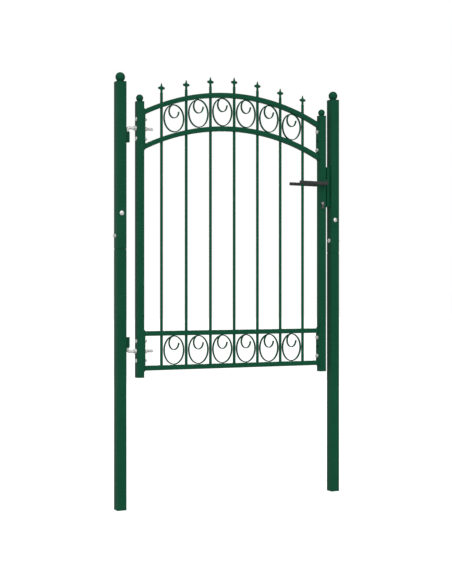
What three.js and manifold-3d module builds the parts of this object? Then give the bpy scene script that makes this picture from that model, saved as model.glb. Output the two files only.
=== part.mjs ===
// Garden gate with two posts: a steel leaf with an arched top hung between square posts.
// Millimetres, +Z up. X runs from the hinge post to the lock post, and the front faces -Y.
// The origin is midway between the posts, at their feet.
import * as THREE from 'three';
import { mergeVertices } from 'three/addons/utils/BufferGeometryUtils.js';
import Module from 'manifold-3d';

const wasm = await Module();
wasm.setup();

// Driving dimensions
const GAP = 0.3; // between pieces that touch
const POST = { size: 40, wall: 2, x: 505, seam: 1060, top: 1737, spigotTop: 1240, spigotFoot: 985 };
const POST_BOLT = { face: 1205, side: 1113, shank: 4, head: 10, headHeight: 4.6 };
const STILE = { size: 30, wall: 1.5, reach: 433, foot: 534, top: 1663 };
const LEAF_X = 12.5; // middle of the leaf
const CAP = { plate: 3, plug: 12 };
const RAIL = { size: 20, wall: 1.5, pitch: 142, lowest: 572.5, crown: 1720.5, radius: 925 };
const PLATE = { thick: 5, width: 30, length: 172, corner: 9 };
const PANEL_MID = { upper: 1552.5, lower: 644 }; // the height of each hinge hook
const PLATE_BOLT = { offset: 40, shank: 4, head: 9, headHeight: 4.6 };
const BAR = { radius: 6, pitch: 112, count: 7, tips: [1800, 1792.5, 1771, 1749] };
const SCROLL = { halfWidth: 46.3, strip: 4, depth: 10, curlHalfWidth: 23.7 };
const HINGE = { x: -474.5, pin: 6, bore: 6.6, outer: 10, height: 43, bend: 9, drop: 14.5, tail: -362 };
const LOCK = { x: 442, spindle: 1363, plug: 1277, latch: 1378, bolt: 1312, middle: 1350 };
const LEVER = { reach: 45, tip: 309, height: 14, thick: 10, neck: 8 };
const KEEP = { depth: 18, width: 22, wall: 2.5, foot: 1262, height: 178 };
const ROUND = 10; // sides of a round piece

const stileInner = STILE.reach - STILE.size / 2;
const plateInner = stileInner - PLATE.thick;
const railEnd = plateInner - GAP;

const finishes = {
  coat: { color: 0x184c36, roughness: 0.45, metalness: 0.1 },
  zinc: { color: 0xc4c6c4, roughness: 0.35, metalness: 0.9 },
  lever: { color: 0x2c2d2e, roughness: 0.4, metalness: 0.3 },
  nickel: { color: 0x9a9b98, roughness: 0.3, metalness: 0.9 },
};

const gate = new THREE.Group();

// Solids and booleans
function solidOf(geometry) {
  const bare = geometry.index ? geometry.toNonIndexed() : geometry.clone();
  bare.deleteAttribute('normal');
  bare.deleteAttribute('uv');
  const merged = mergeVertices(bare, 1e-4);
  return new wasm.Manifold(new wasm.Mesh({
    numProp: 3,
    vertProperties: new Float32Array(merged.attributes.position.array),
    triVerts: new Uint32Array(merged.index.array),
  }));
}

function geometryOf(solid) {
  const mesh = solid.getMesh();
  const geometry = new THREE.BufferGeometry();
  geometry.setAttribute('position', new THREE.BufferAttribute(new Float32Array(mesh.vertProperties), 3));
  geometry.setIndex(new THREE.BufferAttribute(new Uint32Array(mesh.triVerts), 1));
  return geometry;
}

function joined(...pieces) {
  return pieces.reduce((whole, piece) => whole.add(piece));
}

function add(name, solid, finish, place = [0, 0, 0]) {
  const geometry = geometryOf(solid);
  geometry.computeVertexNormals();
  const mesh = new THREE.Mesh(geometry, new THREE.MeshStandardMaterial(finishes[finish]));
  mesh.name = name;
  mesh.position.set(...place);
  gate.add(mesh);
}

// A box between two corners
function block(low, high) {
  const size = high.map((value, i) => value - low[i]);
  const geometry = new THREE.BoxGeometry(...size);
  geometry.translate(...low.map((value, i) => value + size[i] / 2));
  return solidOf(geometry);
}

// A round bar along an axis, from one place on that axis to another, centred on the other two
function rod(axis, radius, from, to, centre = [0, 0, 0], sides = ROUND) {
  const geometry = new THREE.CylinderGeometry(radius, radius, to - from, sides);
  if (axis === 'x') geometry.rotateZ(-Math.PI / 2);
  if (axis === 'z') geometry.rotateX(Math.PI / 2);
  const middle = [...centre];
  middle['xyz'.indexOf(axis)] = (from + to) / 2;
  geometry.translate(...middle);
  return solidOf(geometry);
}

// A flat outline in X and Z, made as thick as depth about Y = 0
function slab(outline, depth, holes = []) {
  const shape = new THREE.Shape(outline.map(([x, z]) => new THREE.Vector2(x, z)));
  for (const hole of holes) {
    shape.holes.push(new THREE.Path(hole.map(([x, z]) => new THREE.Vector2(x, z))));
  }
  const geometry = new THREE.ExtrudeGeometry(shape, { depth, bevelEnabled: false });
  geometry.rotateX(Math.PI / 2);
  geometry.translate(0, depth / 2, 0);
  return solidOf(geometry);
}

// A solid of revolution about Z, from [radius, height] points
function turned(profile, sides = ROUND) {
  const geometry = new THREE.LatheGeometry(profile.map(([r, z]) => new THREE.Vector2(r, z)), sides);
  geometry.rotateX(Math.PI / 2);
  return solidOf(geometry);
}

function squareTube(size, wall, low, high, x) {
  const half = size / 2;
  const inner = half - wall;
  const outside = block([x - half, -half, low], [x + half, half, high]);
  return outside.subtract(block([x - inner, -inner, low - 1], [x + inner, inner, high + 1]));
}

// A bolt along Z from a domed head below z = 0, through the grip, to a washer, a nut and a stud end
function carriageBolt({ shank, head, headHeight }, grip) {
  const nutLow = grip + GAP + 1.6;
  const dome = turned([[0, -headHeight], [head * 0.6, -headHeight * 0.75], [head, -GAP], [0, -GAP]]);
  const stem = rod('z', shank, -GAP - 0.5, nutLow + 11, [0, 0, 0], 8);
  const washer = rod('z', 8, grip + GAP, nutLow);
  const nut = rod('z', 7.4, nutLow - 0.1, nutLow + 6.8, [0, 0, 0], 6);
  return joined(dome, stem, washer, nut);
}

// Turns a bolt made along Z to run along +X, -X or +Y, from the face that its head sits on
function layBolt(bolt, along, x, y, z) {
  const turn = { '+x': [0, 90, 0], '-x': [0, -90, 0], '+y': [-90, 0, 0] }[along];
  return bolt.rotate(turn).translate([x, y, z]);
}

// Posts: a lower tube with a welded spigot, an upper tube over it, and a cap with a ball
const half = POST.size / 2;
for (const [name, side] of [['hinge', -1], ['lock', 1]]) {
  const x = side * POST.x;
  const spigot = POST.size - 2 * POST.wall - 2 * GAP;
  const faceHole = rod('y', POST_BOLT.shank + 0.5, -60, 60, [x, 0, POST_BOLT.face]);
  const sideHole = rod('x', POST_BOLT.shank + 0.5, x - 60, x + 60, [0, 0, POST_BOLT.side]);
  const collar = squareTube(POST.size - 1, 5, POST.seam - 12, POST.seam - 6, x);
  const lower = joined(squareTube(POST.size, POST.wall, 0, POST.seam - GAP, x), collar,
    squareTube(spigot, POST.wall, POST.spigotFoot, POST.spigotTop, x));
  add(`${name}_post_lower`, lower.subtract(faceHole).subtract(sideHole), 'coat');
  const upper = squareTube(POST.size, POST.wall, POST.seam, POST.top, x);
  add(`${name}_post_upper`, upper.subtract(faceHole).subtract(sideHole), 'coat');
  add(`${name}_post_cap`, ballCap(POST, x), 'coat');
  const bolt = carriageBolt(POST_BOLT, POST.size);
  add(`${name}_post_face_bolt`, layBolt(bolt, '+y', x, -half, POST_BOLT.face), 'zinc');
  const outwards = side > 0 ? '+x' : '-x';
  add(`${name}_post_side_bolt`, layBolt(bolt, outwards, x - side * half, 0, POST_BOLT.side), 'zinc');
}

// A flat cap with a plug inside the tube and a ball as wide as the tube
function ballCap({ size, wall, top }, x) {
  const edge = size / 2;
  const plug = edge - wall - GAP;
  const plate = block([x - edge, -edge, top + GAP], [x + edge, edge, top + CAP.plate]);
  const ball = new THREE.SphereGeometry(edge, 12, 7);
  ball.rotateX(Math.PI / 2);
  ball.translate(x, 0, top + CAP.plate + edge - 2);
  return joined(plate, block([x - plug, -plug, top - CAP.plug], [x + plug, plug, top + 1]), solidOf(ball));
}

// Stiles, drilled for the plate bolts, the hooks and the lock
for (const [name, side] of [['hinge', -1], ['lock', 1]]) {
  const x = LEAF_X + side * STILE.reach;
  let tube = squareTube(STILE.size, STILE.wall, STILE.foot, STILE.top, x);
  for (const height of Object.values(PANEL_MID)) {
    for (const offset of [-PLATE_BOLT.offset, PLATE_BOLT.offset]) {
      tube = tube.subtract(rod('x', PLATE_BOLT.shank + 0.5, x - 20, x + 20, [0, 0, height + offset]));
    }
    if (side < 0) tube = tube.subtract(rod('x', HINGE.pin + 0.5, x - 20, x + 20, [0, 0, height]));
  }
  if (side > 0) tube = tube.subtract(lockCutout());
  add(`${name}_stile`, tube, 'coat');
  add(`${name}_stile_cap`, ballCap(STILE, x), 'coat');
}

// The shape of a profile cylinder's end: a round part over a narrow stem, grown by spare
function profileCylinder(reach, spare) {
  const round = rod('y', 8.5 + spare, -reach, reach, [LOCK.x, 0, LOCK.plug], 16);
  const stem = block([LOCK.x - 5 - spare, -reach, LOCK.plug - 24.5 - spare],
    [LOCK.x + 5 + spare, reach, LOCK.plug]);
  return joined(round, stem);
}

function lockCutout() {
  const outerFace = LEAF_X + STILE.reach + STILE.size / 2;
  const spindleHole = rod('y', 7.5, -30, 30, [LOCK.x, 0, LOCK.spindle]);
  const slot = block([outerFace - 5, -9, LOCK.middle - 75], [outerFace + 5, 9, LOCK.middle + 75]);
  return joined(spindleHole, profileCylinder(30, 0.4), slot);
}

// Rails: two equal arched tubes above, two straight tubes below, drilled for the bars
function arch(outer, inner, reach, centreHeight, depth, steps = 20) {
  const along = (radius, flip) => Array.from({ length: steps + 1 }, (_, i) => {
    const x = flip * reach * (2 * i / steps - 1);
    return [x, centreHeight + Math.sqrt(radius * radius - x * x)];
  });
  return slab([...along(inner, 1), ...along(outer, -1)], depth);
}

function archedRail(crown) {
  const { size, wall, radius } = RAIL;
  const centreHeight = crown - radius;
  const outside = arch(radius + size / 2, radius - size / 2, railEnd, centreHeight, size);
  const hollow = arch(radius + size / 2 - wall, radius - size / 2 + wall, railEnd + 2, centreHeight,
    size - 2 * wall);
  return outside.subtract(hollow);
}

function straightRail(height) {
  const edge = RAIL.size / 2;
  const inner = edge - RAIL.wall;
  const outside = block([-railEnd, -edge, height - edge], [railEnd, edge, height + edge]);
  return outside.subtract(block([-railEnd - 1, -inner, height - inner], [railEnd + 1, inner, height + inner]));
}

const barPlaces = Array.from({ length: BAR.count }, (_, i) => (i - (BAR.count - 1) / 2) * BAR.pitch);

function drilled(rail, from, to) {
  return barPlaces.reduce((left, x) => left.subtract(rod('z', BAR.radius + 0.4, from, to, [x, 0, 0])), rail);
}

const lowerRailHeights = [RAIL.lowest, RAIL.lowest + RAIL.pitch];
const archCrowns = [RAIL.crown - RAIL.pitch, RAIL.crown];
add('lower_bottom_rail', drilled(straightRail(lowerRailHeights[0]), RAIL.lowest, 700), 'coat', [LEAF_X, 0, 0]);
add('upper_bottom_rail', drilled(straightRail(lowerRailHeights[1]), 600, 800), 'coat', [LEAF_X, 0, 0]);
add('lower_arch_rail', drilled(archedRail(archCrowns[0]), 1300, 1900), 'coat', [LEAF_X, 0, 0]);
add('top_arch_rail', drilled(archedRail(archCrowns[1]), 1300, 1900), 'coat', [LEAF_X, 0, 0]);

// Bars from inside the lowest rail to a spear with two wings
const SPEAR = { neck: 40, wing: 20, span: 15, halfHeight: 8.5 };
const barFoot = RAIL.lowest - RAIL.size / 2 + RAIL.wall + GAP;
barPlaces.forEach((x, i) => {
  const tip = BAR.tips[Math.abs(i - (BAR.count - 1) / 2)];
  const body = turned([[0, barFoot], [BAR.radius, barFoot], [BAR.radius, tip - SPEAR.neck - 6],
    [4.8, tip - SPEAR.neck], [4.2, tip - 31], [6, tip - 21.5], [4.4, tip - 15], [3.6, tip - 9], [0, tip]]);
  const { span, halfHeight, wing } = SPEAR;
  const middle = tip - wing;
  const wings = slab([[-span, middle - 3], [-3, middle - halfHeight], [3, middle - halfHeight],
    [span, middle - 3], [span, middle + 4], [3, middle + halfHeight], [-3, middle + halfHeight],
    [-span, middle + 4]], 6);
  add(`bar_${i + 1}`, joined(body, wings), 'coat', [LEAF_X + x, 0, 0]);
});

// Scrolls: an oval loop with a half-size curl inside it, from its top round to three o'clock
function ellipsePoints(halfWidth, halfHeight, centre, from, to, steps) {
  return Array.from({ length: steps }, (_, i) => {
    const angle = from + (to - from) * i / (steps - 1);
    return [halfWidth * Math.cos(angle), centre + halfHeight * Math.sin(angle)];
  });
}

function scroll(halfHeight) {
  const { halfWidth, strip, depth, curlHalfWidth } = SCROLL;
  const turn = 2 * Math.PI;
  const loopSteps = 22;
  const last = turn * (1 - 1 / loopSteps);
  const outer = ellipsePoints(halfWidth, halfHeight, 0, 0, last, loopSteps);
  const inner = ellipsePoints(halfWidth - strip, halfHeight - strip, 0, 0, last, loopSteps);
  const loop = slab(outer, depth, [inner]);
  const curlHeight = halfHeight / 2;
  const curlStart = Math.PI / 2;
  const curlSteps = 10;
  const curlOut = ellipsePoints(curlHalfWidth, curlHeight, curlHeight, curlStart, turn, curlSteps);
  const curlIn = ellipsePoints(curlHalfWidth - strip, curlHeight - strip, curlHeight, turn, curlStart,
    curlSteps);
  return loop.add(slab([...curlOut, ...curlIn], depth - 0.02));
}

function archHeight(radius, x) {
  return Math.sqrt(radius * radius - x * x);
}

// An oval that touches two parallel arches is shorter where they slope
function ovalHalfHeight(x) {
  const slope = x / archHeight(RAIL.radius, x);
  const halfGap = (RAIL.pitch + archHeight(RAIL.radius - RAIL.size / 2, x)
    - archHeight(RAIL.radius + RAIL.size / 2, x)) / 2;
  return Math.sqrt(halfGap * halfGap - (slope * SCROLL.halfWidth) ** 2) - GAP - 0.25;
}

for (let i = 0; i < BAR.count - 1; i += 1) {
  const x = barPlaces[i] + BAR.pitch / 2;
  const straightMiddle = RAIL.lowest + RAIL.pitch / 2;
  const straightHalf = (RAIL.pitch - RAIL.size) / 2 - GAP;
  add(`lower_scroll_${i + 1}`, scroll(straightHalf), 'coat', [LEAF_X + x, 0, straightMiddle]);
  const archMiddle = RAIL.crown - RAIL.radius - RAIL.pitch / 2
    + (archHeight(RAIL.radius + RAIL.size / 2, x) + archHeight(RAIL.radius - RAIL.size / 2, x)) / 2;
  add(`upper_scroll_${i + 1}`, scroll(ovalHalfHeight(x)), 'coat', [LEAF_X + x, 0, archMiddle]);
}

// End plates with rounded corners, each held to its stile by two bolts
function endPlate(height, side) {
  const near = plateInner;
  const edge = PLATE.width / 2;
  const reach = PLATE.length / 2;
  const cut = PLATE.corner;
  const outline = [[-edge, -reach + cut], [-edge + cut * 0.3, -reach + cut * 0.3], [-edge + cut, -reach],
    [edge - cut, -reach], [edge - cut * 0.3, -reach + cut * 0.3], [edge, -reach + cut], [edge, reach - cut],
    [edge - cut * 0.3, reach - cut * 0.3], [edge - cut, reach], [-edge + cut, reach],
    [-edge + cut * 0.3, reach - cut * 0.3], [-edge, reach - cut]];
  const flat = slab(outline, PLATE.thick - GAP).rotate([0, 0, 90]);
  const middle = side * (near + (PLATE.thick - GAP) / 2);
  let plate = flat.translate([middle, 0, height]);
  for (const [offset, radius] of [[-PLATE_BOLT.offset, 4.5], [0, HINGE.pin + 0.5], [PLATE_BOLT.offset, 4.5]]) {
    plate = plate.subtract(rod('x', radius, middle - 10, middle + 10, [0, 0, height + offset]));
  }
  return plate;
}

for (const [level, height] of Object.entries(PANEL_MID)) {
  for (const [name, side] of [['hinge', -1], ['lock', 1]]) {
    add(`${level}_${name}_plate`, endPlate(height, side), 'coat', [LEAF_X, 0, 0]);
    const outerFace = LEAF_X + side * (STILE.reach + STILE.size / 2);
    const bolt = carriageBolt(PLATE_BOLT, STILE.size + PLATE.thick);
    for (const [place, offset] of [['top', PLATE_BOLT.offset], ['bottom', -PLATE_BOLT.offset]]) {
      const along = side < 0 ? '+x' : '-x';
      add(`${level}_${name}_plate_bolt_${place}`, layBolt(bolt, along, outerFace, 0, height + offset), 'zinc');
    }
  }
}

// Hinges: a bent hook through the stile and its plate, turning in a socket on the hinge post.
// The upper hook points down and the lower one up, so the leaf can't be lifted off.
class Elbow extends THREE.Curve {
  getPoint(t, target = new THREE.Vector3()) {
    const angle = t * Math.PI / 2;
    return target.set(HINGE.bend * (1 - Math.cos(angle)), 0, HINGE.bend * (Math.sin(angle) - 1));
  }
}

function hook() {
  const { pin, bend, drop, tail, x } = HINGE;
  const section = new THREE.Shape(Array.from({ length: ROUND }, (_, i) => {
    const angle = 2 * Math.PI * i / ROUND;
    return new THREE.Vector2(pin * Math.cos(angle), pin * Math.sin(angle));
  }));
  const elbow = new THREE.ExtrudeGeometry(section, { steps: 6, extrudePath: new Elbow(), bevelEnabled: false });
  const pinFoot = -drop - HINGE.height + 4;
  const stileOuter = LEAF_X - STILE.reach - STILE.size / 2 - x;
  const plateFace = LEAF_X - plateInner - x;
  return joined(solidOf(elbow), rod('z', pin - 0.02, pinFoot, -bend + 0.5),
    rod('x', pin - 0.02, bend - 0.5, tail - x),
    rod('x', 10.9, stileOuter - 10, stileOuter - GAP, [0, 0, 0], 6),
    rod('x', 10.9, plateFace + GAP, plateFace + 10, [0, 0, 0], 6));
}

function socket() {
  const { bore, outer, height } = HINGE;
  return turned([[bore, 0], [outer, 0], [outer, height], [bore, height], [bore, 0]], 16);
}

const socketDrop = HINGE.drop + HINGE.height;
add('upper_hinge_hook', hook(), 'zinc', [HINGE.x, 0, PANEL_MID.upper]);
add('upper_hinge_socket', socket(), 'coat', [HINGE.x, 0, PANEL_MID.upper - socketDrop]);
add('lower_hinge_hook', hook().rotate([180, 0, 0]), 'zinc', [HINGE.x, 0, PANEL_MID.lower]);
add('lower_hinge_socket', socket(), 'coat', [HINGE.x, 0, PANEL_MID.lower + socketDrop - HINGE.height]);

// Lock: a case with its front plate and profile cylinder, a latch, a dead bolt and a key plug
const stileOuterX = LEAF_X + STILE.reach + STILE.size / 2;
const LATCH = { width: 12, height: 16, back: 445, nose: 473 };
const DEAD = { width: 10, height: 24, back: 437 };
const forendFace = stileOuterX + 2.5;

function boltChannel({ width, height }, z) {
  return block([425, -width / 2 - 0.4, z - height / 2 - 0.4], [470, width / 2 + 0.4, z + height / 2 + 0.4]);
}

const caseBody = block([432.4, -8.6, LOCK.middle - 74], [stileOuterX + 1, 8.6, LOCK.middle + 74]);
const forend = block([stileOuterX + GAP, -11, LOCK.middle - 90], [forendFace, 11, LOCK.middle + 90]);
const lockCase = joined(caseBody, forend, profileCylinder(19, 0))
  .subtract(boltChannel(LATCH, LOCK.latch))
  .subtract(boltChannel(DEAD, LOCK.bolt))
  .subtract(rod('y', 7, -30, 30, [LOCK.x, 0, LOCK.spindle]))
  .subtract(rod('y', 6.7, -30, 30, [LOCK.x, 0, LOCK.plug]));
add('lock_case', lockCase, 'nickel');

const keyway = (y) => block([LOCK.x - 1, y - 5, LOCK.plug - 4], [LOCK.x + 1, y + 5, LOCK.plug + 4]);
add('key_plug', rod('y', 6.2, -19, 19, [LOCK.x, 0, LOCK.plug]).subtract(keyway(-19)).subtract(keyway(19)),
  'nickel');

const latchHalf = LATCH.width / 2;
const latchShape = block([LATCH.back, -latchHalf, LOCK.latch - LATCH.height / 2],
  [LATCH.nose, latchHalf, LOCK.latch + LATCH.height / 2]);
const bevel = block([0, -20, -20], [20, 0, 20]).rotate([0, 0, -38])
  .translate([LATCH.nose - 1.5, latchHalf - 2, LOCK.latch]);
add('latch_bolt', latchShape.subtract(bevel), 'zinc');
add('dead_bolt', block([DEAD.back, -DEAD.width / 2, LOCK.bolt - DEAD.height / 2],
  [forendFace, DEAD.width / 2, LOCK.bolt + DEAD.height / 2]), 'zinc');

// Lever handles: the rear one carries the square spindle that the front one slides onto
function lever(side) {
  const { reach, tip, height, thick, neck } = LEVER;
  const edge = height / 2;
  const z = LOCK.spindle;
  const end = LOCK.x + 7;
  const grip = slab([[tip + 2, z - edge], [end - 4, z - edge], [end, z - edge + 4], [end, z + edge - 4],
    [end - 4, z + edge], [tip + 2, z + edge], [tip, z + edge - 2], [tip, z - edge + 2]], thick)
    .translate([0, side * reach, 0]);
  const face = STILE.size / 2 + GAP;
  const sorted = (a, b) => (a < b ? [a, b] : [b, a]);
  return joined(grip, rod('y', neck, ...sorted(side * face, side * (reach - 1)), [LOCK.x, 0, z], 16),
    rod('y', neck + 2.5, ...sorted(side * face, side * (face + 3)), [LOCK.x, 0, z], 16));
}

const spindleHalf = 3.9;
const spindle = (spare, from) => block([LOCK.x - spindleHalf - spare, from, LOCK.spindle - spindleHalf - spare],
  [LOCK.x + spindleHalf + spare, 20, LOCK.spindle + spindleHalf + spare]);
add('front_handle', lever(-1).subtract(spindle(0.4, -34)), 'lever');
add('rear_handle', lever(1).add(spindle(0, -33)), 'lever');

// Keep: a folded channel on the lock post, open towards the leaf
const postFace = POST.x - POST.size / 2;
const keepHalf = KEEP.width / 2;
const keepBack = postFace - GAP;
const keepTop = KEEP.foot + KEEP.height;
const keepBlock = block([keepBack - KEEP.depth, -keepHalf, KEEP.foot], [keepBack, keepHalf, keepTop]);
add('lock_keep', keepBlock.subtract(block([keepBack - KEEP.depth - 1, -keepHalf + KEEP.wall, KEEP.foot - 1],
  [keepBack - KEEP.wall, keepHalf - KEEP.wall, keepTop + 1])), 'coat');

export default gate;
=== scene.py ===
import math

import bmesh
import bpy
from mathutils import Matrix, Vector


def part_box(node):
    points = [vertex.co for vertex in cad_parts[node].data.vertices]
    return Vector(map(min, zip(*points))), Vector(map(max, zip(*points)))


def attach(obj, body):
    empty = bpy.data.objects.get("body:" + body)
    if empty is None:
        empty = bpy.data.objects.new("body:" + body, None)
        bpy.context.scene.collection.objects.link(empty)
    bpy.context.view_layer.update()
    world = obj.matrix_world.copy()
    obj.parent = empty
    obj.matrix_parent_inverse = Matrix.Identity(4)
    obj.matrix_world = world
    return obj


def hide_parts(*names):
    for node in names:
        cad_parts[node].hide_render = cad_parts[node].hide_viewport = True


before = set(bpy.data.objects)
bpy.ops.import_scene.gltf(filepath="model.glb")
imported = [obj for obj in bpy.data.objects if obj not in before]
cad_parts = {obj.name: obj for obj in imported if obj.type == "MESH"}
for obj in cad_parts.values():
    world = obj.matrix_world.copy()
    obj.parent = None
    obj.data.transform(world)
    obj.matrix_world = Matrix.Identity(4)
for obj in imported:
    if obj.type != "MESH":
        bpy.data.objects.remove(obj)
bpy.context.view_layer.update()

# One millimetre. Everything below that isn't read from the frame is given in millimetres.
MM = 0.001

# Turns, in degrees, that bring a piece made along +Z into another direction
UP = (0, 0, 0)
TO_RIGHT = (0, 90, 0)
TO_LEFT = (0, -90, 0)
TO_BACK = (-90, 0, 0)
TO_FRONT = (90, 0, 0)
DOWN = (180, 0, 0)

# Which coordinate, and which corner of a span
X, Y, Z = 0, 1, 2
LOW, HIGH = 0, 1

# A spin about +Y needs a negative angle to turn from +Z towards +X
SPIN_SIGN = -1
SMOOTH_UNDER = math.radians(32)
SHARP_OVER = math.radians(60)

# Square tube, as wall and corner radius
POST_TUBE = (2, 1.1)
SPIGOT_TUBE = (2, 1.5)
STILE_TUBE = (1.5, 0.9)
RAIL_TUBE = (1.5, 0.8)
RAIL_SIZE = 20
RAIL_RADIUS = 925
SEAM_GAP = 1.6
SEAM_CHAMFER = 0.9
SPIGOT_INSET = 2.4
SPIGOT_BELOW = 70
SPIGOT_ABOVE = 150
STILE_HALF = 15

# Bars and scrolls
BAR_RADIUS = 6
SHANK_BELOW_TIP = 45
WINGS_BELOW_TIP = 21.3
WING_FLATNESS = 0.55
STRIP_THICKNESS = 4
STRIP_DEPTH = 10
CURL_HALF_WIDTH = 21.8

# Fastenings
WASHER_THICKNESS = 1.6
SMALL_NUT = (12.9, 6.6)
LARGE_NUT = (19, 9.6)
FACE_TO_STUD_END = 12.6
STUD_LENGTH = 10
HEAD_HEIGHT = 4.55
PLATE_CORNER = 9.5

# Hooks and sockets, measured from the pin's axis
ROD_RADIUS = 6
PIN_LENGTH = 53
BEND_RADIUS = 9
ELBOW_REACH = 28
THREAD_START = 27
ROD_TO_NUT_TOP = 9.44
SOCKET_RADIUS = 10
SOCKET_BORE = 6.7

# Lock, levers and keep
BARREL_RADIUS = 8.5
PLUG_RADIUS = 6.2
PLUG_BORE = 6.5
FRONT_HALF_WIDTH = 11
CASE_HALF_WIDTH = 8
LEVER_THICKNESS = 10
LEVER_HALF_HEIGHT = 7
SPINDLE_HALF = 3.9
KEEP_WALL = 2.5
KEEP_CORNER = 6.5


# Finishes

def new_finish(name, colour, roughness, metallic=0.0):
    """A new material, with its node tree and its shader"""
    finish = bpy.data.materials.new(name)
    finish.use_nodes = True
    shader = finish.node_tree.nodes["Principled BSDF"]
    shader.inputs["Base Color"].default_value = (*colour, 1)
    shader.inputs["Roughness"].default_value = roughness
    shader.inputs["Metallic"].default_value = metallic
    return finish, finish.node_tree, shader


def noise(tree, scale, detail, stretch=(1, 1, 1)):
    place = tree.nodes.new("ShaderNodeTexCoord")
    mapping = tree.nodes.new("ShaderNodeMapping")
    mapping.inputs["Scale"].default_value = stretch
    texture = tree.nodes.new("ShaderNodeTexNoise")
    texture.inputs["Scale"].default_value = scale
    texture.inputs["Detail"].default_value = detail
    tree.links.new(place.outputs["Object"], mapping.inputs["Vector"])
    tree.links.new(mapping.outputs["Vector"], texture.inputs["Vector"])
    return texture.outputs["Fac"]


def ramp(tree, factor, stops):
    node = tree.nodes.new("ShaderNodeValToRGB")
    for stop, (position, colour) in zip(node.color_ramp.elements, stops):
        stop.position = position
        stop.color = (*colour, 1)
    tree.links.new(factor, node.inputs["Fac"])
    return node.outputs["Color"]


def spread(tree, factor, low, high):
    node = tree.nodes.new("ShaderNodeMapRange")
    node.inputs["To Min"].default_value = low
    node.inputs["To Max"].default_value = high
    tree.links.new(factor, node.inputs["Value"])
    return node.outputs["Result"]


def bumps(tree, shader, factor, strength, distance):
    node = tree.nodes.new("ShaderNodeBump")
    node.inputs["Strength"].default_value = strength
    node.inputs["Distance"].default_value = distance
    tree.links.new(factor, node.inputs["Height"])
    tree.links.new(node.outputs["Normal"], shader.inputs["Normal"])


def powder_coat(name, dark, light, roughness):
    finish, tree, shader = new_finish(name, light, roughness)
    tree.links.new(ramp(tree, noise(tree, 9, 5), [(0.35, dark), (0.65, light)]),
                   shader.inputs["Base Color"])
    tree.links.new(spread(tree, noise(tree, 60, 4), roughness - 0.06, roughness + 0.08),
                   shader.inputs["Roughness"])
    shader.inputs["Specular IOR Level"].default_value = 0.06
    bumps(tree, shader, noise(tree, 700, 2), 0.2, 0.000012)
    return finish


def bright_metal(name, dark, light, roughness, stretch=(1, 1, 1)):
    finish, tree, shader = new_finish(name, light, roughness, 0.85)
    tree.links.new(ramp(tree, noise(tree, 160, 5, stretch), [(0.3, dark), (0.7, light)]),
                   shader.inputs["Base Color"])
    tree.links.new(spread(tree, noise(tree, 420, 4, stretch), roughness - 0.08, roughness + 0.12),
                   shader.inputs["Roughness"])
    bumps(tree, shader, noise(tree, 1500, 3, stretch), 0.15, 0.00003)
    return finish


BRUSHED_ALONG_Z = (1, 1, 12)
green = powder_coat("green powder coat", (0.0046, 0.065, 0.031), (0.0060, 0.071, 0.035), 0.52)
zinc = bright_metal("bright zinc plating", (0.64, 0.65, 0.64), (0.78, 0.79, 0.77), 0.46)
black = powder_coat("black lever enamel", (0.034, 0.036, 0.036), (0.050, 0.052, 0.052), 0.38)
# This nickel is darkened below the metal's own colour to paint the shade round the cylinder:
# painted shade.
nickel = bright_metal("brushed nickel darkened as painted shade", (0.10, 0.098, 0.095), (0.20, 0.196, 0.19), 0.34,
                      BRUSHED_ALONG_Z)
# A copy of the nickel, lightened to paint the highlight on the plug's face: painted highlight. The
# latch and dead bolt use it too.
highlight_plug_nickel = bright_metal("plug nickel lightened as painted highlight", (0.40, 0.40, 0.38), (0.52, 0.52, 0.50), 0.32)
FINISH_OF = {"green_coat": green, "zinc": zinc, "dark_lever": black, "nickel": nickel}


# Working on a piece

def hold(*pieces):
    """Selects these pieces and nothing else, in object mode"""
    if bpy.context.mode != "OBJECT":
        bpy.ops.object.mode_set(mode="OBJECT")
    bpy.ops.object.select_all(action="DESELECT")
    for piece in pieces:
        piece.select_set(True)
    bpy.context.view_layer.objects.active = pieces[0]


def open_up(piece):
    """Starts shaping a piece, with nothing selected"""
    hold(piece)
    bpy.ops.object.mode_set(mode="EDIT")
    bpy.ops.mesh.select_all(action="DESELECT")


def pick(piece, kind, test):
    """Selects the corners, edges or faces that pass a test"""
    bpy.ops.mesh.select_all(action="DESELECT")
    bpy.ops.mesh.select_mode(type=kind)
    mesh = bmesh.from_edit_mesh(piece.data)
    for item in {"VERT": mesh.verts, "EDGE": mesh.edges, "FACE": mesh.faces}[kind]:
        if test(item):
            item.select_set(True)
    bmesh.update_edit_mesh(piece.data)


def close_up(piece):
    """Ends the shaping of a piece, with its corners merged and its faces outwards"""
    bpy.ops.mesh.select_all(action="SELECT")
    bpy.ops.mesh.remove_doubles(threshold=0.00001)
    bpy.ops.mesh.normals_make_consistent(inside=False)
    bpy.ops.object.mode_set(mode="OBJECT")
    return piece


def place(piece, spot=(0, 0, 0), turn=UP):
    hold(piece)
    piece.location = [value * MM for value in spot]
    piece.rotation_euler = [math.radians(value) for value in turn]
    bpy.ops.object.transform_apply(location=True, rotation=True, scale=True)
    return piece


def copy_of(piece, spot=(0, 0, 0), turn=UP):
    twin = piece.copy()
    twin.data = piece.data.copy()
    bpy.context.scene.collection.objects.link(twin)
    return place(twin, spot, turn)


def finish_with(piece, kind, **settings):
    hold(piece)
    modifier = piece.modifiers.new(kind.lower(), kind)
    for setting, value in settings.items():
        setattr(modifier, setting, value)
    bpy.ops.object.modifier_apply(modifier=modifier.name)
    return piece


def cut(piece, tool, operation="DIFFERENCE"):
    finish_with(piece, "BOOLEAN", object=tool, operation=operation, solver="EXACT")
    bpy.data.objects.remove(tool)
    return piece


def united(*pieces):
    hold(*pieces)
    if len(pieces) > 1:
        bpy.ops.object.join()
    return bpy.context.view_layer.objects.active


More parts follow.
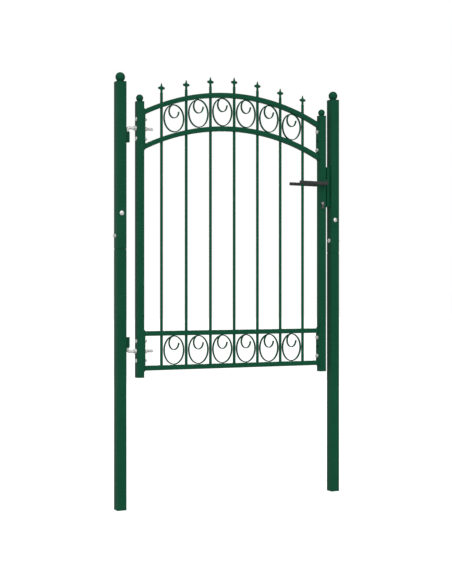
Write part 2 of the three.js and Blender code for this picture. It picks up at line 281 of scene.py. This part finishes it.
def mount(piece, name, body, slot, node, finish=None):
    """Names a finished piece, coats it, and lets it stand for a node of the frame"""
    hold(piece)
    piece.name = piece.data.name = name
    bpy.ops.object.shade_smooth_by_angle(angle=SMOOTH_UNDER)
    piece.data.materials.clear()
    piece.data.materials.append(finish or FINISH_OF[slot])
    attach(piece, body)
    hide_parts(node)


def span(node):
    """A node's lowest and highest corners, in millimetres"""
    low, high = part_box(node)
    return [value / MM for value in low], [value / MM for value in high]


def middle(node):
    low, high = span(node)
    return [(a + b) / 2 for a, b in zip(low, high)]


# Basic shapes, in millimetres

def block(low, high, edge=0.0, segments=2, test=None):
    """A box between two corners, with its edges rounded, or only those that pass a test"""
    centre = [(a + b) / 2 * MM for a, b in zip(low, high)]
    size = [(b - a) * MM for a, b in zip(low, high)]
    bpy.ops.mesh.primitive_cube_add(size=1, location=centre, scale=size)
    piece = place_here()
    if edge:
        open_up(piece)
        pick(piece, "EDGE", test or (lambda item: True))
        bpy.ops.mesh.bevel(offset=edge * MM, segments=segments, affect="EDGES")
        close_up(piece)
    return piece


def place_here():
    """The primitive that was just added, with its place in its mesh"""
    piece = bpy.context.object
    hold(piece)
    bpy.ops.object.transform_apply(location=True, rotation=True, scale=True)
    return piece


def runs_along(axis):
    """A test for edges that are parallel to an axis"""
    def test(edge):
        first, last = (vertex.co for vertex in edge.verts)
        return abs(abs(first[axis] - last[axis]) - (first - last).length) < 1e-6
    return test


def square_tube(low, high, wall, corner, axis):
    """A tube with rounded corners, open at its two ends"""
    piece = block(low, high)
    open_up(piece)
    pick(piece, "FACE", lambda face: abs(face.normal[axis]) > 0.9)
    bpy.ops.mesh.delete(type="ONLY_FACE")
    pick(piece, "EDGE", runs_along(axis))
    bpy.ops.mesh.bevel(offset=corner * MM, segments=5, affect="EDGES")
    close_up(piece)
    return walled(piece, wall)


def walled(piece, wall):
    """Gives an open skin its wall, on its inner side"""
    return finish_with(piece, "SOLIDIFY", thickness=wall * MM, offset=-1, use_even_offset=True)


def turned(profile, sides=24):
    """A solid turned about Z, from pairs of radius and height"""
    radius, height = profile[0]
    bpy.ops.mesh.primitive_circle_add(vertices=sides, radius=radius * MM, fill_type="NGON",
                                      location=(0, 0, height * MM))
    piece = place_here()
    open_up(piece)
    bpy.ops.mesh.select_mode(type="FACE")
    bpy.ops.mesh.select_all(action="SELECT")
    for next_radius, next_height in profile[1:]:
        bpy.ops.mesh.extrude_region_move(
            TRANSFORM_OT_translate={"value": (0, 0, (next_height - height) * MM)})
        change = next_radius / radius
        bpy.ops.transform.resize(value=(change, change, 1), center_override=(0, 0, 0))
        radius, height = next_radius, next_height
    return close_up(piece)


def broken_rod(radius, reach, sides):
    """A round rod about the middle, with the sharp edges of its ends broken"""
    return turned([(radius - 0.4, -reach), (radius, -reach + 0.4), (radius, reach - 0.4),
                   (radius - 0.4, reach)], sides)


def drill(radius, start, end, sides=32):
    """The tool that cuts a round hole"""
    return turned([(radius, start), (radius, end)], sides)


def ball_on_neck(radius, neck, base):
    """A ball that rises from a short flared neck"""
    start = math.pi - math.asin(neck / radius)
    centre = base - radius * math.cos(start)
    arc = [start * (1 - step / 14) for step in range(15)]
    rings = [(radius * math.sin(angle), centre + radius * math.cos(angle)) for angle in arc[:-1]]
    flare = [(neck + 2.2, base - 1), (neck + 0.8, base - 0.3)]
    return turned([*flare, *rings, (0.05, centre + radius)], 32)


def hexagon_nut(flats, height):
    """A nut whose corners are chamfered at both ends"""
    corner = flats / 2 / math.cos(math.pi / 6)
    bpy.ops.mesh.primitive_cylinder_add(vertices=6, radius=corner * MM, depth=height * MM,
                                        location=(0, 0, height / 2 * MM))
    nut = place_here()
    chamfer = (corner - flats / 2) * 0.62
    barrel = turned([(flats / 2 - 0.1, 0), (corner + 0.1, chamfer),
                     (corner + 0.1, height - chamfer), (flats / 2 - 0.1, height)], 48)
    return cut(nut, barrel, "INTERSECT")


def thread(radius, pitch, length, sides=20):
    """A stud with a ridge for each turn of its thread"""
    turns = int(length / pitch)
    rings = [(radius - pitch * 0.3, 0)]
    for turn in range(turns):
        rings += [(radius, (turn + 0.5) * pitch), (radius - pitch * 0.45, (turn + 1) * pitch)]
    return turned([*rings, (radius - 1, turns * pitch + 0.6)], sides)


def weld_bead(length, radius):
    """A rippled bead along Z, thin at both ends"""
    ripples = max(6, int(length / 1.6))
    rings = [(radius * (0.82 if step % 2 else 1.0), length * step / ripples)
             for step in range(1, ripples)]
    return turned([(radius * 0.3, 0), *rings, (radius * 0.3, length)], 8)


# Patterns that are modelled once and copied
domed_head = turned([(9, 0), (9, 0.7), (8.7, 1.5), (7.6, 2.7), (5.6, 3.8), (3, 4.4),
                     (0.05, 4.6)], 32)
post_head = turned([(10, 0), (10, 0.7), (9.7, 1.5), (8.5, 2.7), (6.2, 3.8), (3.2, 4.4),
                    (0.05, 4.6)], 32)
washer = turned([(7.6, 0), (8, 0.3), (8, 1.3), (7.6, 1.6)], 32)
small_nut = hexagon_nut(*SMALL_NUT)
small_stud = thread(3.95, 1.25, 9.4)
large_nut = hexagon_nut(*LARGE_NUT)
patterns = [domed_head, post_head, washer, small_nut, small_stud, large_nut]


def bolt_set(head, name, body, node, turn):
    """A domed head at one end of its bolt, and a washer, a nut and a stud end at the other"""
    low, high = span(node)
    axis = X if turn in (TO_RIGHT, TO_LEFT) else Y
    forward = turn in (TO_RIGHT, TO_BACK)
    centre = middle(node)
    opposite = {TO_RIGHT: TO_LEFT, TO_LEFT: TO_RIGHT, TO_BACK: TO_FRONT}[turn]

    def spot(distance):
        where = list(centre)
        where[axis] = low[axis] + distance if forward else high[axis] - distance
        return where

    length = high[axis] - low[axis]
    face = length - FACE_TO_STUD_END
    fastening = united(copy_of(head, spot(HEAD_HEIGHT), opposite),
                       copy_of(washer, spot(face), turn),
                       copy_of(small_nut, spot(face + WASHER_THICKNESS), turn),
                       copy_of(small_stud, spot(length - STUD_LENGTH), turn))
    mount(fastening, name, body, "zinc", node)


# Posts: two tubes that meet at a chamfered seam, over a spigot
for side in ("hinge", "lock"):
    low, high = span(f"{side}_post_upper")
    seam = low[Z]
    foot = span(f"{side}_post_lower")[LOW][Z]
    lower = square_tube([low[X], low[Y], foot], [high[X], high[Y], seam - SEAM_GAP], *POST_TUBE, Z)
    upper = square_tube(low, high, *POST_TUBE, Z)
    for tube in (lower, upper):
        finish_with(tube, "BEVEL", width=SEAM_CHAMFER * MM, segments=1, limit_method="ANGLE",
                    angle_limit=SHARP_OVER)
    inner_low = [low[X] + SPIGOT_INSET, low[Y] + SPIGOT_INSET, seam - SPIGOT_BELOW]
    inner_high = [high[X] - SPIGOT_INSET, high[Y] - SPIGOT_INSET, seam + SPIGOT_ABOVE]
    spigot = square_tube(inner_low, inner_high, *SPIGOT_TUBE, Z)
    mount(united(lower, spigot), f"{side}_post_tube_low", "posts", "green_coat",
          f"{side}_post_lower")
    mount(upper, f"{side}_post_tube_high", "posts", "green_coat", f"{side}_post_upper")
    bolt_set(post_head, f"{side}_post_bolt_front", "posts", f"{side}_post_face_bolt", TO_BACK)
    bolt_set(post_head, f"{side}_post_bolt_side", "posts", f"{side}_post_side_bolt",
             TO_LEFT if side == "hinge" else TO_RIGHT)


def ball_cap(node, tube_node, body, name):
    """A flat plate with a plug below it, inside the tube, and a ball on top"""
    low, high = span(node)
    base = span(tube_node)[HIGH][Z]
    radius = (high[X] - low[X]) / 2
    centre = middle(node)
    inset = 2.5
    plate = block([low[X], low[Y], base + 0.3], [high[X], high[Y], base + 3], 0.9, 3)
    plug = block([low[X] + inset, low[Y] + inset, base - 12],
                 [high[X] - inset, high[Y] - inset, base + 1], 0.6)
    ball = ball_on_neck(radius - 0.05, radius * 0.42, 0)
    place(ball, (centre[X], centre[Y], high[Z] - span_of(ball)[HIGH][Z]))
    mount(united(plate, plug, ball), name, body, "green_coat", node)


def span_of(piece):
    """A piece's lowest and highest corners, in millimetres"""
    spots = [vertex.co for vertex in piece.data.vertices]
    return [[edge(spot[axis] for spot in spots) / MM for axis in range(3)] for edge in (min, max)]


for side in ("hinge", "lock"):
    ball_cap(f"{side}_post_cap", f"{side}_post_upper", "posts", f"{side}_post_ball_cap")
    ball_cap(f"{side}_stile_cap", f"{side}_stile", "leaf", f"{side}_stile_ball_cap")

# Stiles. The lock stile is open for the cylinder.
hinge_stile = square_tube(*span("hinge_stile"), *STILE_TUBE, Z)
mount(hinge_stile, "hinge_stile_tube", "leaf", "green_coat", "hinge_stile")
plug_low, plug_high = span("key_plug")
plug_middle = middle("key_plug")
lock_stile = square_tube(*span("lock_stile"), *STILE_TUBE, Z)
barrel_opening = place(drill(BARREL_RADIUS + 0.8, -60, 60), plug_middle, TO_BACK)
stem_opening = block([plug_middle[X] - 5.9, -60, plug_middle[Z] - 25.4],
                     [plug_middle[X] + 5.9, 60, plug_middle[Z]])
cut(lock_stile, barrel_opening)
cut(lock_stile, stem_opening)
mount(lock_stile, "lock_stile_tube", "leaf", "green_coat", "lock_stile")

# Rails
leaf_middle = middle("top_arch_rail")[X]


def arched_rail(node):
    """A rounded square section that is spun round the arch and cut plumb at its two ends"""
    wall, corner = RAIL_TUBE
    low, high = span(node)
    crown = high[Z] - RAIL_SIZE / 2
    spare = 8
    reach = math.asin(((high[X] - low[X]) / 2 + spare) / RAIL_RADIUS)
    start = (leaf_middle - RAIL_RADIUS * math.sin(reach), 0,
             crown - RAIL_RADIUS * (1 - math.cos(reach)))
    bpy.ops.mesh.primitive_plane_add(size=RAIL_SIZE * MM, location=[value * MM for value in start],
                                     rotation=(0, math.pi / 2 - reach, 0))
    rail = place_here()
    open_up(rail)
    bpy.ops.mesh.select_all(action="SELECT")
    bpy.ops.mesh.bevel(offset=corner * MM, segments=3, affect="VERTICES")
    bpy.ops.mesh.select_all(action="SELECT")
    bpy.ops.mesh.delete(type="ONLY_FACE")
    bpy.ops.mesh.select_mode(type="EDGE")
    bpy.ops.mesh.select_all(action="SELECT")
    bpy.ops.mesh.spin(steps=64, angle=SPIN_SIGN * 2 * reach, axis=(0, 1, 0),
                      center=(leaf_middle * MM, 0, (crown - RAIL_RADIUS) * MM))
    for end, outwards in ((low[X], -1), (high[X], 1)):
        bpy.ops.mesh.select_all(action="SELECT")
        bpy.ops.mesh.bisect(plane_co=(end * MM, 0, 0), plane_no=(outwards, 0, 0), clear_outer=True)
    return walled(close_up(rail), wall)


for node in ("top_arch_rail", "lower_arch_rail"):
    mount(arched_rail(node), f"{node}_tube", "leaf", "green_coat", node)
for node in ("upper_bottom_rail", "lower_bottom_rail"):
    mount(square_tube(*span(node), *RAIL_TUBE, X), f"{node}_tube", "leaf", "green_coat", node)


# Bars, each with a cast spear: a collar, two side wings and a point
SPEAR_PROFILE = [(6.1, -46), (6.2, -42.5), (5.0, -41), (4.7, -38.5), (5.3, -36.5), (4.8, -34.5),
                 (4.7, -31.5), (5.8, -28), (7.9, -22.5), (7.9, -20.5), (5.8, -16.8), (4.5, -14.6),
                 (3.7, -9), (1.9, -3), (0.6, -0.3), (0.05, 0)]
WING_PROFILE = [(9.2, 2), (7.3, 5.4), (5.8, 8.4), (5.2, 11), (4.9, 13), (3.2, 14.6), (0.6, 15)]


def spear(tip):
    """A turned point, and a flattened piece across it whose two ends are the wings"""
    body = turned([(radius, tip + height) for radius, height in SPEAR_PROFILE], 20)
    left = [(radius, -reach) for radius, reach in reversed(WING_PROFILE)]
    wings = turned([*left, (9.9, 0), *WING_PROFILE], 20)
    open_up(wings)
    bpy.ops.mesh.select_all(action="SELECT")
    bpy.ops.transform.resize(value=(1, WING_FLATNESS, 1), center_override=(0, 0, 0))
    close_up(wings)
    place(wings, (0, 0, tip - WINGS_BELOW_TIP), TO_RIGHT)
    return united(body, wings)


for number in range(1, 8):
    low, high = span(f"bar_{number}")
    shank = turned([(BAR_RADIUS - 0.6, low[Z]), (BAR_RADIUS, low[Z] + 0.6),
                    (BAR_RADIUS, high[Z] - SHANK_BELOW_TIP)], 24)
    whole = place(united(shank, spear(high[Z])), (middle(f"bar_{number}")[X], 0, 0))
    mount(whole, f"bar_and_spear_{number}", "leaf", "green_coat", f"bar_{number}")


# Scrolls: a flat strip bent to an oval, with a smaller curl that hangs from its top
def oval_strip(half_width, half_height, centre, opening=None):
    """A strip bent round an upright oval, less the part that is in the opening"""
    bpy.ops.mesh.primitive_circle_add(vertices=72, radius=1, rotation=(math.pi / 2, 0, 0),
                                      location=(0, STRIP_DEPTH / 2 * MM, 0))
    strip = place_here()
    open_up(strip)
    bpy.ops.mesh.select_mode(type="VERT")
    if opening:
        pick(strip, "VERT", opening)
        bpy.ops.mesh.delete(type="VERT")
    bpy.ops.mesh.select_all(action="SELECT")
    bpy.ops.transform.resize(value=(half_width * MM, 1, half_height * MM),
                             center_override=(0, 0, 0))
    bpy.ops.mesh.extrude_region_move(TRANSFORM_OT_translate={"value": (0, -STRIP_DEPTH * MM, 0)})
    bpy.ops.mesh.select_all(action="SELECT")
    bpy.ops.transform.translate(value=(0, 0, centre * MM))
    bpy.ops.mesh.normals_make_consistent(inside=False)
    bpy.ops.object.mode_set(mode="OBJECT")
    finish_with(strip, "SOLIDIFY", thickness=STRIP_THICKNESS * MM, offset=0, use_even_offset=True)
    return finish_with(strip, "BEVEL", width=0.5 * MM, segments=2, limit_method="ANGLE")


def in_upper_right(vertex):
    return vertex.co.x > 0.01 and vertex.co.z > 0.01


def scroll(half_width, half_height):
    """An oval and its curl, sized to the middle of the strip"""
    half_strip = STRIP_THICKNESS // 2
    loop = oval_strip(half_width - half_strip, half_height - half_strip, 0)
    curl = oval_strip(CURL_HALF_WIDTH, half_height / 2 - half_strip, half_height / 2,
                      in_upper_right)
    return united(loop, curl)


for number in range(1, 7):
    for level in ("lower", "upper"):
        node = f"{level}_scroll_{number}"
        low, high = span(node)
        piece = place(scroll((high[X] - low[X]) / 2, (high[Z] - low[Z]) / 2), middle(node))
        mount(piece, f"{level}_scroll_strip_{number}", "leaf", "green_coat", node)


# End plates and their bolts. Those at the lock stile have a hole in the middle.
for level in ("upper", "lower"):
    for side in ("hinge", "lock"):
        node = f"{level}_{side}_plate"
        low, high = span(node)
        plate = block(low, high)
        open_up(plate)
        pick(plate, "EDGE", runs_along(X))
        bpy.ops.mesh.bevel(offset=PLATE_CORNER * MM, segments=8, affect="EDGES")
        close_up(plate)
        if side == "lock":
            cut(plate, place(drill(6.5, -20, 20), middle(node), TO_RIGHT))
        finish_with(plate, "BEVEL", width=0.5 * MM, segments=2, limit_method="ANGLE")
        mount(plate, f"{node}_steel", "leaf", "green_coat", node)
        for end in ("top", "bottom"):
            bolt_set(domed_head, f"{node}_fastening_{end}", "leaf", f"{node}_bolt_{end}",
                     TO_RIGHT if side == "hinge" else TO_LEFT)

# Hinges: bent hooks with two nuts, in sockets that are welded to the post
pin_x = middle("upper_hinge_socket")[X]


def hinge_hook(level, turn):
    """A pin that bends into a threaded rod, made with its elbow at the top and then turned"""
    node = f"{level}_hinge_hook"
    low, high = span(node)
    rod_height = high[Z] - ROD_TO_NUT_TOP if level == "upper" else low[Z] + ROD_TO_NUT_TOP
    tail = high[X] - pin_x
    bpy.ops.mesh.primitive_circle_add(vertices=24, radius=ROD_RADIUS * MM, fill_type="NGON",
                                      location=(0, 0, -PIN_LENGTH * MM))
    hook = place_here()
    open_up(hook)
    bpy.ops.mesh.select_mode(type="FACE")
    bpy.ops.mesh.select_all(action="SELECT")
    bpy.ops.mesh.extrude_region_move(
        TRANSFORM_OT_translate={"value": (0, 0, (PIN_LENGTH - BEND_RADIUS) * MM)})
    bpy.ops.mesh.spin(steps=12, angle=SPIN_SIGN * math.pi / 2, axis=(0, 1, 0),
                      center=(BEND_RADIUS * MM, 0, -BEND_RADIUS * MM))
    bpy.ops.mesh.extrude_region_move(
        TRANSFORM_OT_translate={"value": ((ELBOW_REACH - BEND_RADIUS) * MM, 0, 0)})
    close_up(hook)
    stile_face = span("hinge_stile")[LOW][X] - pin_x
    plate_face = span(f"{level}_hinge_plate")[HIGH][X] - pin_x
    tail_thread = place(thread(ROD_RADIUS, 1.75, tail - THREAD_START, 24), (THREAD_START, 0, 0),
                        TO_RIGHT)
    outer_nut = copy_of(large_nut, (stile_face - 10, 0, 0), TO_RIGHT)
    inner_nut = copy_of(large_nut, (plate_face + 0.3, 0, 0), TO_RIGHT)
    whole = united(hook, tail_thread, outer_nut, inner_nut)
    place(whole, (pin_x, 0, rod_height), turn)
    mount(whole, f"{level}_hook_and_nuts", "leaf", "zinc", node)


hinge_hook("upper", UP)
hinge_hook("lower", DOWN)
for level in ("upper", "lower"):
    node = f"{level}_hinge_socket"
    low, high = span(node)
    height = high[Z] - low[Z]
    sleeve = turned([(SOCKET_RADIUS - 0.4, 0), (SOCKET_RADIUS, 0.5), (SOCKET_RADIUS, height - 0.5),
                     (SOCKET_RADIUS - 0.4, height)], 32)
    cut(sleeve, drill(SOCKET_BORE, -5, height + 5))
    weld_x = span("hinge_post_upper")[HIGH][X] - pin_x + 0.7
    beads = [place(weld_bead(height - 3, 2.2), (weld_x, y, 1.5)) for y in (-5.5, 5.5)]
    whole = place(united(sleeve, *beads), (pin_x, 0, low[Z]))
    mount(whole, f"{level}_socket_sleeve", "posts", "green_coat", node)


# Lock
def lock_front():
    """The front plate with its two screws, and the case behind it"""
    low, high = span("lock_case")
    plate = block([span("lock_stile")[HIGH][X] + 0.1, -FRONT_HALF_WIDTH, low[Z]],
                  [high[X], FRONT_HALF_WIDTH, high[Z]], 1.0, 3)
    case = block([low[X] + 1, -CASE_HALF_WIDTH, low[Z] + 20],
                 [high[X] - 3, CASE_HALF_WIDTH, high[Z] - 20], 1)
    screws = []
    for z in (low[Z] + 9, high[Z] - 9):
        screw = turned([(3.6, -0.4), (3.6, 0.15), (3.0, 0.6), (0.05, 0.75)], 20)
        screws.append(place(screw, (high[X] - 0.1, 0, z), TO_RIGHT))
    return united(plate, case, *screws)


cylinder_reach = (plug_high[Y] - plug_low[Y]) / 2


def profile_cylinder():
    """A round barrel over a rounded stem, bored for the plug"""
    barrel = place(broken_rod(BARREL_RADIUS, cylinder_reach, 48), turn=TO_BACK)
    stem = block([-5, -cylinder_reach, -24.5], [5, cylinder_reach, -4], 2.2, 5,
                 lambda edge: runs_along(Y)(edge) and edge.verts[0].co.z < -0.02)
    cut(barrel, stem, "UNION")
    cut(barrel, place(drill(PLUG_BORE, -60, 60, 48), turn=TO_BACK))
    return place(barrel, plug_middle)


# The front plate and cylinder take the nickel that is darkened as painted shade.
mount(united(lock_front(), profile_cylinder()), "lock_front_and_cylinder", "leaf", "nickel",
      "lock_case")

# The plug, with a keyway at each end: a slot and the wider ward across it
key_plug = place(broken_rod(PLUG_RADIUS, cylinder_reach, 40), turn=TO_BACK)
for end in (-cylinder_reach, cylinder_reach):
    cut(key_plug, block([-0.9, end - 4, -4.2], [0.9, end + 4, 4.2]))
    cut(key_plug, block([-1.6, end - 4, -1.2], [1.6, end + 4, 0.4]))
# The plug takes the nickel that is lightened as a painted highlight.
mount(place(key_plug, plug_middle), "key_plug_core", "plug", "nickel", "key_plug",
      finish=highlight_plug_nickel)

# The latch, whose nose is cut to a slope, and the square-ended dead bolt
low, high = span("latch_bolt")
latch = block(low, high, 0.4)
wedge = block([0, -20, -20], [20, 0, 20])
place(wedge, (high[X] - 1.6, high[Y] - 2, middle("latch_bolt")[Z]), (0, 0, -38))
mount(cut(latch, wedge), "latch_tongue", "latch", "nickel", "latch_bolt", finish=highlight_plug_nickel)
mount(block(*span("dead_bolt"), 0.8, 3), "dead_bolt_bar", "deadbolt", "nickel", "dead_bolt",
      finish=highlight_plug_nickel)


# Levers: a rounded bar on a neck that comes out of a collar
lever_pivot = [plug_middle[X], 0, middle("front_handle")[Z]]


def lever(node, facing):
    """The lever of one side; facing is -1 for the front and 1 for the back"""
    low, high = span(node)
    outer = low[Y] if facing < 0 else high[Y]
    inner = outer - facing * LEVER_THICKNESS
    grip = block([low[X], min(outer, inner), lever_pivot[Z] - LEVER_HALF_HEIGHT],
                 [high[X], max(outer, inner), lever_pivot[Z] + LEVER_HALF_HEIGHT], 3.2, 5)
    length = abs(outer) - STILE_HALF
    neck = turned([(10.5, 0.3), (10.5, 2.2), (9.7, 3.2), (8.2, 3.6), (7.6, 6), (7, 12),
                   (6.8, length - 8), (6.8, length - 5)], 32)
    place(neck, (lever_pivot[X] - 0.5, facing * STILE_HALF, lever_pivot[Z]),
          TO_FRONT if facing < 0 else TO_BACK)
    return united(grip, neck)


mount(lever("front_handle", -1), "front_lever", "levers", "dark_lever", "front_handle")
rear = lever("rear_handle", 1)
spindle_bar = block([lever_pivot[X] - SPINDLE_HALF, -33, lever_pivot[Z] - SPINDLE_HALF],
                    [lever_pivot[X] + SPINDLE_HALF, 20, lever_pivot[Z] + SPINDLE_HALF], 0.5)
mount(united(rear, spindle_bar), "rear_lever", "levers", "dark_lever", "rear_handle")

# Keep: a folded channel that is welded to the lock post
low, high = span("lock_keep")
keep = block(low, high)
open_up(keep)
pick(keep, "FACE", lambda face: face.normal.x < -0.9 or abs(face.normal.z) > 0.9)
bpy.ops.mesh.delete(type="ONLY_FACE")
pick(keep, "EDGE", lambda edge: runs_along(Z)(edge) and edge.verts[0].co.x / MM > high[X] - 1)
bpy.ops.mesh.bevel(offset=KEEP_CORNER * MM, segments=7, affect="EDGES")
walled(close_up(keep), KEEP_WALL)
beads = [place(weld_bead(26, 1.6), (high[X] - 0.6, y, z))
         for y in (low[Y] + 0.2, high[Y] - 0.2) for z in (low[Z] + 8, high[Z] - 34)]
mount(united(keep, *beads), "keep_channel", "posts", "green_coat", "lock_keep")

for pattern in patterns:
    bpy.data.objects.remove(pattern)


# Floor, light and camera, in metres, degrees and watts
LEAF_HEART = (0, 0, 1)
SKY_TO_LEFT = 0.30
SKY_TO_RIGHT = 0.06
FLOOR_GLOW = 0.4
FLOOR_SHOWN = 0.95
WHITE = (1, 1, 1, 1)
PANELS = [
    # name, place, width and height, power
    ("left panel", (-6, -2.5, 2.2), (3, 4), 60),
    ("rim panel", (-3.4, 5.5, 1.8), (3, 4), 34),
    ("back panel", (2.6, 5.6, 2.6), (3, 3), 190),
    ("front panel", (1.5, -6, 3.5), (4, 2.5), 46),
]


def hang_lamp(lamp, spot, aim):
    """Puts a lamp in the scene and points it"""
    holder = bpy.data.objects.new(lamp.name, lamp)
    holder.location = spot
    direction = Vector(aim) - Vector(spot)
    holder.rotation_euler = direction.to_track_quat("-Z", "Y").to_euler()
    bpy.context.scene.collection.objects.link(holder)


def white_floor():
    """A floor that looks white, and lights the gate from below more softly than it looks"""
    bpy.ops.object.select_all(action="DESELECT")
    bpy.ops.mesh.primitive_plane_add(size=60, location=(0, 0, -0.0005))
    floor = bpy.context.object
    floor.name = "floor"
    paper, tree, shader = new_finish("white studio floor", (0.25, 0.25, 0.25), 0.9)
    shader.inputs["Emission Color"].default_value = WHITE
    ray = tree.nodes.new("ShaderNodeLightPath")
    tree.links.new(spread(tree, ray.outputs["Is Camera Ray"], FLOOR_GLOW, FLOOR_SHOWN),
                   shader.inputs["Emission Strength"])
    floor.data.materials.append(paper)


def white_surroundings():
    """White all round to look at, while the light fades from the left to the right"""
    world = bpy.data.worlds.new("studio")
    bpy.context.scene.world = world
    world.use_nodes = True
    sky = world.node_tree
    lit = sky.nodes["Background"]
    lit.inputs["Color"].default_value = WHITE
    direction = sky.nodes.new("ShaderNodeTexCoord")
    sides = sky.nodes.new("ShaderNodeSeparateXYZ")
    fade = sky.nodes.new("ShaderNodeMapRange")
    fade.inputs["From Min"].default_value = -1
    fade.inputs["From Max"].default_value = 1
    fade.inputs["To Min"].default_value = SKY_TO_LEFT
    fade.inputs["To Max"].default_value = SKY_TO_RIGHT
    sky.links.new(direction.outputs["Generated"], sides.inputs["Vector"])
    sky.links.new(sides.outputs["X"], fade.inputs["Value"])
    sky.links.new(fade.outputs["Result"], lit.inputs["Strength"])
    shown = sky.nodes.new("ShaderNodeBackground")
    shown.inputs["Color"].default_value = WHITE
    shown.inputs["Strength"].default_value = 1.0
    choose = sky.nodes.new("ShaderNodeMixShader")
    ray = sky.nodes.new("ShaderNodeLightPath")
    sky.links.new(ray.outputs["Is Camera Ray"], choose.inputs["Fac"])
    sky.links.new(lit.outputs["Background"], choose.inputs[1])
    sky.links.new(shown.outputs["Background"], choose.inputs[2])
    sky.links.new(choose.outputs["Shader"], sky.nodes["World Output"].inputs["Surface"])


def soft_lights():
    """A wide overhead sun from the front left, and panels around the gate"""
    sun = bpy.data.lights.new("overhead", "SUN")
    sun.energy = 2.2
    sun.angle = math.radians(80)
    hang_lamp(sun, (-0.3, -0.75, 0.75), (0, 0, 0))
    for name, spot, (width, height), power in PANELS:
        panel = bpy.data.lights.new(name, "AREA")
        panel.shape = "RECTANGLE"
        panel.size, panel.size_y = width, height
        panel.energy = power
        hang_lamp(panel, spot, LEAF_HEART)


def viewpoint():
    """The camera, level and turned to the right"""
    eye = bpy.data.cameras.new("camera")
    eye.lens = 69.72
    eye.sensor_width = 36
    eye.clip_end = 200
    camera = bpy.data.objects.new("camera", eye)
    camera.location = (-2.148, -4.312, 0.885)
    camera.rotation_euler = (math.radians(90), 0, math.radians(-26.2))
    bpy.context.scene.collection.objects.link(camera)
    bpy.context.scene.camera = camera
    bpy.context.scene.view_settings.view_transform = "Standard"


white_floor()
white_surroundings()
soft_lights()
viewpoint()
